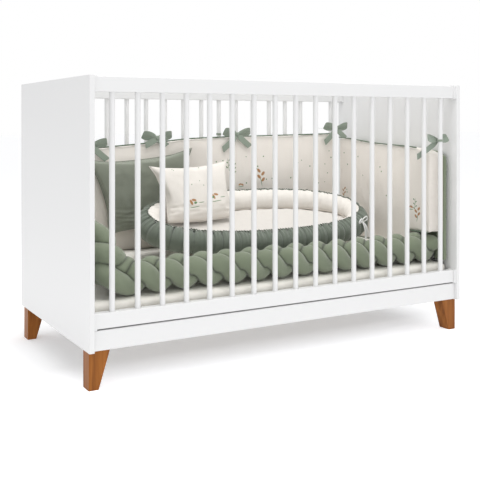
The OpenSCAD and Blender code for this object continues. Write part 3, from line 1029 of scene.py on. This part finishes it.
def finish_pillow(o, ids, node, slot):
    """After the cloth run: the seam and wrinkles that gather near the foot; then the CAD part is hidden and the
    pieces are attached to the bed.
    """
    seam = [o.data.vertices[i].co.copy() for i in ids]
    t = tube(o.name + "_seam", seam, 0.0013, o.data.materials[0], closed=True, sides=6)
    t.matrix_world = o.matrix_world.copy()
    subdivide(o)
    c, nn = coords(o), normals(o)
    low, high = c[:, 2].min(), c[:, 2].max()
    for i, p in enumerate(c):
        face = min(1.0, abs(nn[i][1])) ** 2
        foot = math.exp(-(((p[2] - low) / (high - low) - 0.16) / 0.13) ** 2)
        w = foot * nz((p[0] * 0.5, p[1] * 0.3, p[2] * 2.2), 42, 3.0) * 0.0042 + nz(p, 17, 6.0) * 0.0022
        p += nn[i] * face * w
    set_coords(o, c)
    shade_smooth(o)
    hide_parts(node)
    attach(o, BED)
    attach(t, BED)


def pillow_marks():
    """Dots, and two little groups of brown and green marks near the foot."""
    rng = np.random.default_rng(11)
    out = []
    depth = -0.03

    def mark(x, z, rx, rz, turn, color):
        out.append((x, depth, z, rx, rz, turn, color))

    for _ in range(9):
        r = rng.uniform(0.0014, 0.0022)
        mark(rng.uniform(-0.115, 0.125), rng.uniform(-0.055, 0.075), r, r, 0, LEAF)
    for (x, z, s) in ((-0.030, -0.048, 1), (0.055, -0.032, -1)):
        mark(x - 0.006, z, 0.0045, 0.0095, 0.5, BROWN)
        mark(x + 0.004, z + 0.007, 0.0085, 0.0040, -0.2, BROWN)
        mark(x + 0.009 * s, z - 0.002, 0.0055, 0.0038, 0.2, LEAF)
        mark(x + 0.004, z - 0.016, 0.018, 0.0012, 0.1, LEAF)
        mark(x + 0.030, z - 0.002, 0.011, 0.0011, 0.12, LEAF)
    return out


# ---- ribbons
UP = Vector((0, 0, 1))
RIBBON_W, RIBBON_T = 0.0215, 0.0008
BAND_W = 0.008  # the narrow band round the slat and over the cushion


def arc(points, n):
    """A smooth curve through control points, n steps for each (Catmull-Rom)."""
    p = [Vector(q) for q in points]
    p = [p[0] * 2 - p[1]] + p + [p[-1] * 2 - p[-2]]
    out = []
    for i in range(1, len(p) - 2):
        for k in range(n):
            t = k / n
            a, b, c, d = p[i - 1], p[i], p[i + 1], p[i + 2]
            square, cube = 2 * a - 5 * b + 4 * c - d, 3 * b - a - 3 * c + d
            out.append(0.5 * ((2 * b) + (c - a) * t + square * t * t + cube * t ** 3))
    out.append(p[-2])
    return out


def band(name, path, dirs, widths, shift=None):
    """A strip of ribbon with its own width and width direction at each point."""
    verts = []
    for i, p in enumerate(path):
        for k in (-1, -0.5, 0, 0.5, 1):
            verts.append(Vector(p) + dirs[i] * (k * widths[i] / 2) + (shift(i, k) if shift else Vector()))
    return add_mesh(name, verts, grid_faces(len(path), 5), m_ribbon)


def thicken(o):
    modify(o, "SOLIDIFY", thickness=RIBBON_T, offset=0)


def soft_band(*args):
    o = band(*args)
    thicken(o)
    subdivide(o)
    shade_smooth(o)
    return o


def in_front(o, trees, sy):
    """Draws the strip's points forward until they lie just in front of the cushions."""
    reach, clear = 0.36, 0.0022
    for v in o.data.vertices:
        start = Vector((v.co.x, 0.0, v.co.z))
        best = None
        for t in trees:
            hit = t.ray_cast(start, Vector((0, sy, 0)), reach)
            if hit[0] is not None and (best is None or abs(hit[0].y) < abs(best)):
                best = hit[0].y
        if best is not None and abs(v.co.y) > abs(best) - clear:
            v.co.y = best - sy * clear


def slat_x(i):
    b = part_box("rear_slat_%02d" % i)
    return (b[0][0] + b[1][0]) / 2


def make_bow(name, slat, sy, z, dx, reach, size, tails, trees, loops=(1.0, 1.0)):
    """A bow on a band from its slat, on the side sy of the crib, over the cushion.

    dx and reach say where the knot lies from the slat, tails are end points in mm from the knot, and loops
    are the lengths of the left and the right loop.
    """
    x0, y0 = slat_x(slat), sy * 0.318
    x, yk = x0 + dx, y0 - sy * reach
    face = -sy
    ring_r, steps = 0.0094, 28

    def place(lx, ly, lz):
        return Vector((x + lx * size / 1000, yk + face * ly / 1000, z + lz * size / 1000))

    parts = []
    turns = [2 * math.pi * k / steps for k in range(steps + 1)]
    pts = [Vector((x0 + ring_r * math.cos(a), y0 + ring_r * math.sin(a), z)) for a in turns]
    parts.append(soft_band(name + "_ring", pts, [UP] * len(pts), [BAND_W] * len(pts)))
    if reach > 0.05:
        a, b = Vector((x0, y0 - sy * ring_r, z)), Vector((x, yk, z))
        path = [a.lerp(b, f / 12) for f in range(13)]
        flat = (b - a).cross(UP).normalized()
        parts.append(soft_band(name + "_band", path, [flat] * len(path), [BAND_W] * len(path)))
    for m, q in zip((-1, 1), loops):
        m_q = m * q
        ctrl = [(0, 1.5, 0), (m_q * 14, 6.0, 7), (m_q * 34, 7.0, 14), (m_q * 53, 3.0, 15), (m_q * 55, -1.0, 8),
                (m_q * 40, -1.0, 1), (m_q * 20, 0.0, -1), (0, 0.5, 0)]
        path = arc([place(*c) for c in ctrl], 8)
        n = len(path)
        bulge = [math.sin(math.pi * k / (n - 1)) for k in range(n)]
        dirs = [Vector((-m * 0.30 * b, face * 0.45 * b, 1)).normalized() for b in bulge]
        wid = [RIBBON_W * size * (0.32 + 0.68 * max(0.0, b) ** 0.5) for b in bulge]

        def crush(k, e):
            return Vector((0, face * 0.0014 * math.cos(e * 3.1) * (1 - bulge[k]), 0))

        parts.append(soft_band(name + "_loop%d" % (m + 2), path, dirs, wid, crush))
    for t, (tx, tz) in enumerate(tails):
        ctrl = [(0, 1, -1), (tx * 0.25, 3.5, tz * 0.30), (tx * 0.62, 4.0, tz * 0.66), (tx, 3.0, tz)]
        path = arc([place(*c) for c in ctrl], 9)
        n = len(path)
        ways = [(path[min(n - 1, k + 1)] - path[max(0, k - 1)]).normalized() for k in range(n)]
        dirs = [d.cross(Vector((0, 1, 0))).normalized() for d in ways]
        wid = [RIBBON_W * size * (0.34 + 0.66 * min(1.0, 3.2 * k / (n - 1))) for k in range(n)]
        end = (path[-1] - path[-2]).normalized()

        def slant(k, e):
            return end * (0.0045 * e if k == n - 1 else 0)

        o = band(name + "_tail%d" % t, path, dirs, wid, slant)
        subdivide(o, 2)
        in_front(o, trees, sy)
        thicken(o)
        bake(o)
        shade_smooth(o)
        parts.append(o)
    # knot: a small pinched barrel
    verts, nu, nv = [], 14, 14
    for k in range(nu):
        f = k / (nu - 1)
        zz = (f - 0.5) * 0.016 * size
        r = 0.0062 * size * (1 - 0.55 * (2 * f - 1) ** 4)
        for j in range(nv):
            ang = 2 * math.pi * j / nv
            rr = r * (0.95 + 0.07 * math.sin(ang * 4 + f * 9))
            ahead = face * 0.002 + rr * math.sin(ang) * 0.7
            verts.append(Vector((x + rr * math.cos(ang) * 1.1, yk + ahead, z + zz)))
    faces = grid_faces(nu, nv, False, True) + end_caps(nu, nv)
    parts.append(add_mesh(name + "_knot", verts, faces, m_ribbon))
    piece = join(name, parts)
    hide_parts("bumper_bows")
    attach(piece, BED)


def make_nest_tie():
    """White tape tied in a small bow at the nest's right end."""
    root = NEST_M @ Vector((0.358, -0.106, NR * 0.76))
    out = (NEST_M.to_3x3() @ Vector((0.62, -0.78, 0))).normalized()
    side = Vector((0.86, 0.50, 0)).normalized()

    def place(ahead, aside, above):
        return root + (out * ahead + side * aside + UP * above) / 1000

    parts = []
    for k, ctrl in enumerate((
        [(0, 0, 0), (7, -12, 12), (9, -32, 10), (8, -38, 0), (6, -18, -1), (0, 0, 0)],
        [(0, 0, 0), (7, 12, 14), (9, 30, 17), (8, 38, 7), (6, 18, 1), (0, 0, 0)],
        [(0, 0, 0), (12, -6, -10), (20, -12, -32), (20, -16, -60), (15, -18, -84)],
        [(0, 0, 0), (12, 7, -8), (21, 10, -28), (21, 14, -52)],
        [(0, 0, 0), (11, 0, -4), (20, -2, -22), (21, -3, -46), (18, -6, -66)],
    )):
        path = arc([place(*c) for c in ctrl], 8)
        parts.append(tube("tie_%d" % k, path, 0.0021, m_tie))
    piece = join("nest_tie", parts)
    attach(piece, BED)


def make_floor():
    """A white floor that glows a little. Painted light: near the front of the crib it glows more, only to the
    camera, which lightens the crib's shadow there.
    """
    deep, rise = 0.09, 0.24  # the added light starts this far in front of the middle and is full after rise
    front, fade = 0.85, 0.40  # and it fades out by here
    bpy.ops.mesh.primitive_plane_add(size=80, location=(0, 0, 0))
    o = bpy.context.object
    o.name = "floor"
    n = Nodes("floor_white")
    n.set(Base_Color=n.mix(n.noise(n.coord, 0.5), rgb((0.93, 0.93, 0.93)), rgb((0.94, 0.94, 0.94))))
    # painted light: the glow is tinted slightly blue, which cools the shadow under the crib
    n.bsdf.inputs["Emission Color"].default_value = (0.985, 1.0, 1.045, 1)
    place = n.new("ShaderNodeSeparateXYZ")
    n.link(n.coord, place.inputs[0])
    near = n.math("MULTIPLY_ADD", place.outputs[1], -1 / rise, -deep / rise, clamp=True)
    far = n.math("MULTIPLY_ADD", place.outputs[1], 1 / fade, front / fade, clamp=True)
    camera = n.new("ShaderNodeLightPath").outputs["Is Camera Ray"]
    seen = n.math("MULTIPLY", camera, n.math("MULTIPLY", near, far))
    n.set(Emission_Strength=n.math("MULTIPLY_ADD", seen, 0.42, 0.24))
    n.bsdf.inputs["Roughness"].default_value = 0.9
    n.bsdf.inputs["Specular IOR Level"].default_value = 0.1
    o.data.materials.append(n.m)


# ---- build
make_mattress()
bumpers = rear_bumper() + right_bumper()
make_braid()
make_nest_roll()
make_nest_pad()
green = make_pillow(
    "green_pillow_soft", [(-0.190, 0.106), (0.198, 0.139), (0.164, -0.138), (-0.110, -0.145)], 0.034,
    (-0.300, 0.199, 0.486), 0, m_pillow, 1.7, 4.0, 0.035, back=0.8, front=1.2, sag=0.006)
small = make_pillow(
    "print_pillow_soft", [(-0.150, 0.088), (0.139, 0.102), (0.131, -0.098), (-0.112, -0.104)], 0.054,
    (-0.168, 0.038, 0.490), -20, printed_cloth("printed_cream_pillow", pillow_marks(), (0.765, 0.725, 0.672)),
    1.3, 9.0, 0.045, sag=0.014)
run_cloth()
for o, node in bumpers:
    finish_bumper(o, node)
finish_pillow(*green, "green_pillow", "dark_green_cloth")
finish_pillow(*small, "print_pillow", "cream_cloth")

trees = [BVHTree.FromPolygons([v.co for v in o.data.vertices], [p.vertices for p in o.data.polygons])
         for o, node in bumpers]
REAR_REACH = 0.099  # from a rear slat over the cushion to its front
make_bow("bow_rear_1", 3, 1, 0.641, -0.018, REAR_REACH, 1.0, [(-44, -50), (56, -50)], trees)
make_bow("bow_rear_2", 6, 1, 0.664, 0.0, REAR_REACH, 1.0, [(-46, -26), (36, -28)], trees)
make_bow("bow_rear_3", 10, 1, 0.674, 0.024, REAR_REACH, 1.0, [(-62, -56), (54, -46)], trees)
make_bow("bow_rear_4", 16, 1, 0.694, 0.029, REAR_REACH, 1.0, [(-56, -56), (44, -38)], trees)
make_bow("bow_front", 17, -1, 0.656, 0.005, 0.013, 0.9, [(-106, -62)], [], loops=(1.0, 0.85))
make_nest_tie()
make_floor()
